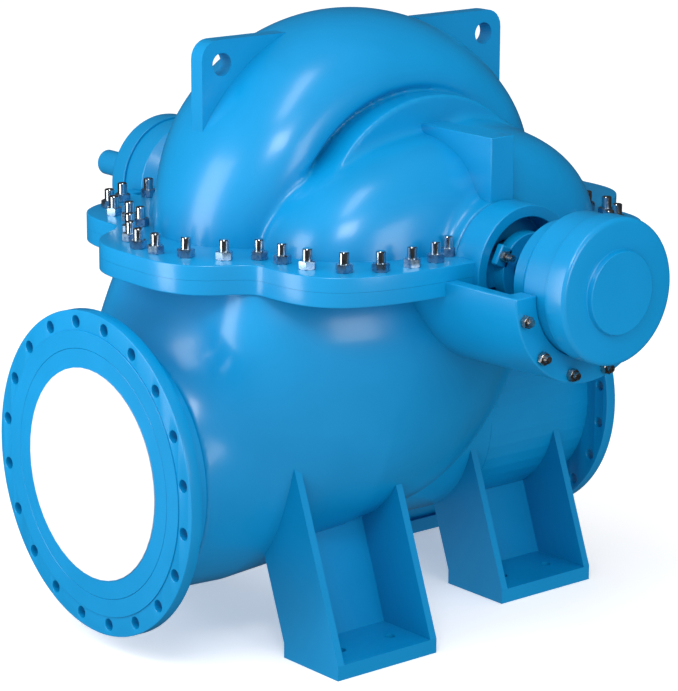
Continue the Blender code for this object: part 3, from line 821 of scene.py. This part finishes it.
def rounded_slab(name, outline, start, end, edge, material):
    """A slab on an outline, from one height to the other, with a rounded edge at its end only."""
    points = [Vector(point) for point in outline]
    inward = []
    for before, after in zip(points[-1:] + points[:-1], points[1:] + points[:1]):
        along = (after - before).normalized()
        inward.append(Vector((-along.y, along.x)))
    way = 1 if end > start else -1
    levels = [(start, 0.0)]
    for angle in quarter_turn(SLAB_STEPS):
        levels.append((end - way * edge * (1 - math.sin(angle)), edge * (1 - math.cos(angle))))
    rings = [[(*(p + n * inset), z) for p, n in zip(points, inward)] for z, inset in levels]
    return finished(name, ringed_mesh(name, rings, 35.0), material)


def turned(name, direction, centre, profile, material, arc=None, closed=True, edge=EDGE_MACHINED):
    """A piece turned about a direction: profile points are (radius, place along it). An arc gives the
    first angle and the sweep of a part turn. Its sharp edges get small rounds."""
    start, sweep = arc or (0.0, math.tau)
    columns = TURN_STEPS // 2 + 1 if arc else TURN_STEPS
    bm = bmesh.new()
    made = []
    for i in range(columns):
        angle = start + sweep * i / (columns - 1 if arc else columns)
        made.append([bm.verts.new((*polar(r, angle), t)) for r, t in profile])
    around = list(zip(made, made[1:])) if arc else list(zip(made, made[1:] + made[:1]))
    for first, second in around:
        pairs = list(zip(range(len(profile)), range(1, len(profile))))
        if closed:
            pairs.append((len(profile) - 1, 0))
        for j, k in pairs:
            bm.faces.new((first[j], second[j], second[k], first[k]))
    if arc:
        bm.faces.new(made[0])
        bm.faces.new(list(reversed(made[-1])))
    bmesh.ops.remove_doubles(bm, verts=bm.verts, dist=TURNED_WELD)
    bmesh.ops.recalc_face_normals(bm, faces=bm.faces)
    mesh = mesh_from(name, bm)
    obj = finished(name, mesh, material)
    obj.rotation_euler = Vector(direction).to_track_quat("Z", "Y").to_euler()
    obj.location = place(*centre)
    if edge:
        round_edges(obj, edge)
    else:
        smooth_by_angle(mesh)
    return obj


def blocks(name, boxes, material):
    """One object of square blocks, each given by its size and its middle."""
    bm = bmesh.new()
    for size, middle in boxes:
        made = bmesh.ops.create_cube(bm, size=1.0)["verts"]
        bmesh.ops.scale(bm, vec=size, verts=made)
        bmesh.ops.translate(bm, vec=middle, verts=made)
    return finished(name, mesh_from(name, bm), material)


def round_edges(obj, width, angle=25.0):
    """Small rounds on an object's sharp edges."""
    bevel = obj.modifiers.new("edge_round", "BEVEL")
    bevel.width = width
    bevel.segments = EDGE_SEGMENTS
    bevel.limit_method = "ANGLE"
    bevel.angle_limit = math.radians(angle)
    bevel.use_clamp_overlap = True
    bevel.harden_normals = False
    smooth_by_angle(obj.data, angle)


def on_casing(obj, *nodes):
    """A painted piece that stands on the casing, in place of these CAD nodes."""
    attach(obj, "casing")
    if nodes:
        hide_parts(*nodes)


# Casing

def lobe_value(x, y, lobe, centre):
    half_x, half_y, power = lobe
    across, along = abs(x - centre[0]) / half_x, abs(y - centre[1]) / half_y
    return (across ** power + along ** power) ** (1 / power) - 1


def split_value(x, y):
    """Below zero inside the split flange's outline, with rounded notches between its lobes."""
    value = lobe_value(x, y, VOLUTE_LOBE, VOLUTE_LOBE_PLACE)
    for side in (-1, 1):
        centre = (SUCTION_LOBE_PLACE[0], end_place(side, SUCTION_LOBE_PLACE[1]))
        value = blend_union(value, lobe_value(x, y, SUCTION_LOBE, centre), NOTCH_BLEND)
    return value


def split_outline():
    points = []
    for i in range(OUTLINE_STEPS):
        angle = math.tau * (i + 0.5) / OUTLINE_STEPS
        near, far = OUTLINE_REACH
        for _ in range(OUTLINE_HALVINGS):
            middle = (near + far) / 2
            inside = split_value(*polar(middle, angle)) < 0
            near, far = (middle, far) if inside else (near, middle)
        points.append(polar(near, angle))
    return points


def make_casing():
    outline = split_outline()
    halves = (("upper", 1, upper_field, UPPER_GRID), ("lower", -1, lower_field, LOWER_GRID))
    for word, side, field, grid in halves:
        shell = field_mesh(f"{word}_casing_shell", field, grid, FIELD_STEP, CAST_PAINT)
        on_casing(shell, f"{word}_casing")
        flange = rounded_slab(f"{word}_split_flange", outline, side * JOINT_GAP,
                              side * SPLIT_THICKNESS, SPLIT_EDGE, SMOOTH_PAINT)
        flange.location = place(0.0, 0.0, 0.0)
        on_casing(flange, f"{word}_casing")


# Fasteners

def nut_mesh(name, flats, height):
    """A hexagon nut with its chamfered corners, round +Z, standing on z = 0."""
    inner = flats / 2
    crown = inner * NUT_CROWN
    rings = [[], [], [], []]
    for i in range(NUT_STEPS):
        angle = math.tau * i / NUT_STEPS
        local = (angle % (math.pi / 3)) - math.pi / 6
        radius = inner / math.cos(local)
        drop = (radius - crown) * math.tan(NUT_CHAMFER)
        levels = ((crown, 0.0), (radius, drop), (radius, height - drop), (crown, height))
        for ring, (r, z) in zip(rings, levels):
            ring.append((*polar(r, angle), z))
    return ringed_mesh(name, rings, 20.0)


def stud_mesh(name, radius, length, chamfer):
    """A stud from z = 0 up, with a chamfered end."""
    profile = ((radius, 0.0), (radius, length - chamfer), (radius - chamfer, length))
    rings = [[(*point, z) for point in circle(r, STUD_STEPS)] for r, z in profile]
    return ringed_mesh(name, rings, 30.0)


def copies_joined(name, mesh, matrices, material):
    """One object that holds a copy of the mesh at each matrix."""
    bm = bmesh.new()
    for matrix in matrices:
        copy = mesh.copy()
        copy.transform(matrix)
        bm.from_mesh(copy)
        bpy.data.meshes.remove(copy)
    return finished(name, mesh_from(name, bm), material)


def standing(x, y, z, turn=0.0):
    """A matrix that stands a fastener at pump coordinates, turned about +Z."""
    matrix = Euler((0.0, 0.0, turn)).to_matrix().to_4x4()
    matrix.translation = place(x, y, z)
    return matrix


def lying(x, y, z, side, turn=0.0):
    """A matrix that lays a fastener along Y, pointing to side."""
    lay = Euler((side * -math.pi / 2, 0.0, 0.0)).to_matrix() @ Euler((0.0, 0.0, turn)).to_matrix()
    matrix = lay.to_4x4()
    matrix.translation = place(x, y, z)
    return matrix


def fasten(word, nut, nut_places, nut_material, stud, stud_places, stud_material):
    """All nuts of a kind as one object, and all its studs as another."""
    nuts = nut_mesh(f"{word}_nut_source", *nut)
    studs = stud_mesh(f"{word}_stud_source", *stud)
    on_casing(copies_joined(f"{word}_nuts", nuts, nut_places, nut_material))
    on_casing(copies_joined(f"{word}_studs", studs, stud_places, stud_material))


def stud_spots():
    """Each stud's place on the split flange, from those of one quarter."""
    middle_x, middle_y = STUD_MIDDLE
    spots = []
    for x, y in STUD_PLACES:
        for turn_x in (-1, 1):
            for turn_y in (-1, 1):
                spots.append((middle_x + turn_x * (x + middle_x), middle_y - turn_y * (y - middle_y)))
    return spots


def make_split_fasteners():
    spots = stud_spots()
    nuts = [standing(x, y, SPLIT_THICKNESS, NUT_TURN * i) for i, (x, y) in enumerate(spots)]
    studs = [standing(x, y, SPLIT_THICKNESS) for x, y in spots]
    fasten("split_flange", SPLIT_NUT, nuts, NUT_STEEL, SPLIT_STUD, studs, BRIGHT_STEEL)


def make_end_fasteners():
    """Nuts and studs on the brackets' end faces and on the glands' ears, which all lie along Y."""
    brackets, glands = [], []
    for side, bracket_end in zip((-1, 1), BRACKET_ENDS):
        for i in range(BRACKET_SCREWS):
            x, z = polar(BRACKET_SCREW_PITCH, -math.pi * (i + 0.5) / BRACKET_SCREWS)
            brackets.append(lying(x, end_place(side, bracket_end), z, side, NUT_TURN * i))
        for ear in (-1, 1):
            x, z = polar(ear * GLAND_STUD_REACH, -GLAND_SLANT)
            glands.append(lying(x, end_place(side, GLAND_FACE_Y), z, side))
    fasten("bracket", BRACKET_NUT, brackets, BROWN_STEEL, BRACKET_STUD, brackets, BROWN_STEEL)
    fasten("gland", GLAND_NUT, glands, BROWN_STEEL, GLAND_STUD, glands, BROWN_STEEL)


# Ports

def hole_circles(pitch, radius):
    """Bolt holes that straddle the centrelines."""
    angles = (math.tau * (i + 0.5) / PORT_HOLES for i in range(PORT_HOLES))
    return [circle(radius, HOLE_STEPS, polar(pitch, angle)) for angle in angles]


def port_flange(word, face_x, out, sizes, inner):
    """A port's flange with its holes, and the raised face in front of it."""
    outer, pitch, raised, bore, hole = sizes
    loops = [circle(outer, RIM_STEPS), circle(bore, TURN_STEPS)] + hole_circles(pitch, hole)
    plate = outline_plate(f"{word}_flange_plate", loops, FLANGE_THICKNESS, EDGE_MACHINED, SMOOTH_PAINT)
    plate.rotation_euler = (0.0, math.pi / 2, 0.0)
    plate.location = place(face_x - out * (RAISED_HEIGHT + FLANGE_THICKNESS / 2), 0.0, PORT_Z)
    on_casing(plate, f"{word}_flange")
    back = -RAISED_HEIGHT - RAISED_SEAT
    face = turned(f"{word}_raised_face", (out, 0.0, 0.0), (face_x, 0.0, PORT_Z),
                  [(raised, 0.0), (raised, back), (inner, back), (inner, 0.0)], SMOOTH_PAINT,
                  edge=EDGE_RAISED)
    on_casing(face, f"{word}_flange")


def make_ports():
    """Both flanges, the suction port's cover disc and its neck. The discharge neck stays a CAD node."""
    port_flange("suction", SUCTION_FACE_X, -1, SUCTION_SIZES, SUCTION_COVER_RADIUS + SEAT_GAP)
    port_flange("discharge", DISCHARGE_FACE_X, 1, DISCHARGE_SIZES, DISCHARGE_SIZES[3])
    cover = [(0.0, 0.0), (SUCTION_COVER_RADIUS, 0.0), (SUCTION_COVER_RADIUS, -SUCTION_COVER_THICKNESS),
             (0.0, -SUCTION_COVER_THICKNESS)]
    disc = turned("suction_cover_disc", (-1, 0, 0), (SUCTION_FACE_X, 0.0, PORT_Z), cover, SMOOTH_PAINT,
                  closed=False, edge=EDGE_SEATED)
    on_casing(disc, "suction_cover")
    start, end, radius = SUCTION_NECK
    bore = SUCTION_SIZES[3]
    tube = [(radius, start), (radius, end), (bore, end), (bore, start)]
    neck = turned("suction_neck_pipe", (1, 0, 0), (0.0, 0.0, PORT_Z), tube, CAST_PAINT, edge=0)
    on_casing(neck, "suction_neck")


# Ends: stuffing boxes, glands, brackets and bearings

def end_turned(name, side, profile, material, node, **options):
    """A turned piece at one end of the pump, with the profile measured along that end."""
    obj = turned(name, (0, side, 0), (0.0, end_shift(side), 0.0), profile, material, **options)
    on_casing(obj, node)


def make_stuffing_box(side, word):
    box = [(BOX_RADIUS, BOX_FACE_Y), (BOX_RADIUS, BOX_RIM_Y), (BOX_BORE, BOX_RIM_Y),
           (BOX_BORE, BOX_FLOOR_Y), (SHAFT_CLEAR_BORE, BOX_FLOOR_Y), (SHAFT_CLEAR_BORE, BOX_FACE_Y)]
    end_turned(f"{word}_stuffing_box", side, box, SMOOTH_PAINT, f"stuffing_box_{word}", edge=EDGE_CAST)


def make_gland(side, word):
    """The gland's round flange with two ears on a slant, where its studs stand."""
    flange = [(GLAND_BORE, GLAND_BACK_Y), (GLAND_RADIUS, GLAND_BACK_Y), (GLAND_RADIUS, GLAND_FACE_Y),
              (GLAND_BORE, GLAND_FACE_Y)]
    end_turned(f"{word}_gland_flange", side, flange, SMOOTH_PAINT, f"gland_{word}", edge=EDGE_CAST)
    length = GLAND_EAR_REACH - GLAND_RADIUS * GLAND_EAR_ROOT
    size = (length, GLAND_EAR_DEPTH, 2 * GLAND_EAR_HALF)
    boxes = [(size, (ear * (GLAND_EAR_REACH - length / 2), 0.0, 0.0)) for ear in (-1, 1)]
    ears = blocks(f"{word}_gland_ears", boxes, SMOOTH_PAINT)
    ears.rotation_euler = (0.0, GLAND_SLANT, 0.0)
    ears.location = place(0.0, end_place(side, GLAND_FACE_Y - GLAND_EAR_DEPTH / 2), 0.0)
    round_edges(ears, EDGE_EAR)
    on_casing(ears, f"gland_{word}")


def make_bearing(side, word, bracket_end, housing_back):
    """The half-round bracket, which is open above the shaft, the housing on it and its cover."""
    seat = bracket_end - BRACKET_SEAT_DEPTH
    seat_radius = HOUSING_RADIUS + SEAT_GAP
    inner = BRACKET_OUTER_BODY - BRACKET_WALL
    bracket = [(BRACKET_OUTER_BODY, BRACKET_START_Y), (BRACKET_OUTER_END, bracket_end),
               (seat_radius, bracket_end), (seat_radius, seat), (inner, seat), (inner, BRACKET_START_Y)]
    end_turned(f"{word}_bracket", side, bracket, CAST_PAINT, f"bearing_bracket_{word}",
               arc=(math.pi, math.pi), edge=EDGE_BRACKET)
    front = bracket_end + HOUSING_FRONT
    back = bracket_end - housing_back
    taper_front, taper_back = (bracket_end - part * housing_back for part in HOUSING_TAPER)
    housing = [(JOURNAL_BORE, back), (HOUSING_NECK_RADIUS, back), (HOUSING_NECK_RADIUS, taper_back),
               (HOUSING_RADIUS, taper_front), (HOUSING_RADIUS, front), (JOURNAL_BORE, front)]
    end_turned(f"{word}_housing", side, housing, SMOOTH_PAINT, f"bearing_housing_{word}",
               edge=EDGE_CAST)
    make_bearing_cover(side, word, front + COVER_GAP)


def make_bearing_cover(side, word, back):
    """The near cover is blind with a raised disc, and the shaft comes through the far one."""
    front = back + COVER_LENGTH
    profile = [(COVER_RADIUS, back)]
    for angle in quarter_turn(COVER_STEPS):
        out, forward = polar(COVER_ROUNDING, angle)
        profile.append((COVER_RADIUS - COVER_ROUNDING + out, front - COVER_ROUNDING + forward))
    if word == "far":
        profile = [(COVER_BORE, back)] + profile + [(COVER_BORE, front)]
    else:
        disc = front + COVER_DISC_HEIGHT
        profile = [(0.0, back)] + profile + [(COVER_DISC_RADIUS, front)]
        profile += [(COVER_DISC_RADIUS - COVER_DISC_TAPER, disc), (0.0, disc)]
    end_turned(f"{word}_cover", side, profile, SMOOTH_PAINT, f"bearing_cover_{word}",
               closed=word == "far")


def make_rib(side, word):
    """The square rib over the stuffing box, which runs into the dome."""
    size = (2 * RIB_HALF_WIDTH, RIB_FACE_Y - RIB_BACK_Y, RIB_TOP - RIB_FOOT)
    block = blocks(f"{word}_rib_block", [(size, (0.0, 0.0, 0.0))], SMOOTH_PAINT)
    middle_y, middle_z = (RIB_FACE_Y + RIB_BACK_Y) / 2, (RIB_TOP + RIB_FOOT) / 2
    block.location = place(0.0, end_place(side, middle_y), middle_z)
    round_edges(block, EDGE_CAST)
    on_casing(block, f"rib_{word}")


def make_ends():
    ends = zip((-1, 1), ("near", "far"), BRACKET_ENDS, HOUSING_BACKS)
    for side, word, bracket_end, housing_back in ends:
        make_stuffing_box(side, word)
        make_gland(side, word)
        make_bearing(side, word, bracket_end, housing_back)
        make_rib(side, word)


# Carried-over CAD nodes

def dress_nodes():
    """Every CAD node that stays gets its finish. The feet and lifting lugs also get small rounds on their
    edges, and the others are smoothed by angle.
    """
    for name, node in frame["nodes"].items():
        if node.hide_render:
            continue
        node.data.materials.clear()
        node.data.materials.append(WHITE_PLATE if name == "suction_cover_plate" else SMOOTH_PAINT)
        if name.startswith(("foot", "lifting")):
            round_edges(node, EDGE_CAST)
        else:
            smooth_by_angle(node.data, 30.0)


make_camera()
make_stage()
make_casing()
make_split_fasteners()
make_end_fasteners()
make_ports()
make_ends()
dress_nodes()
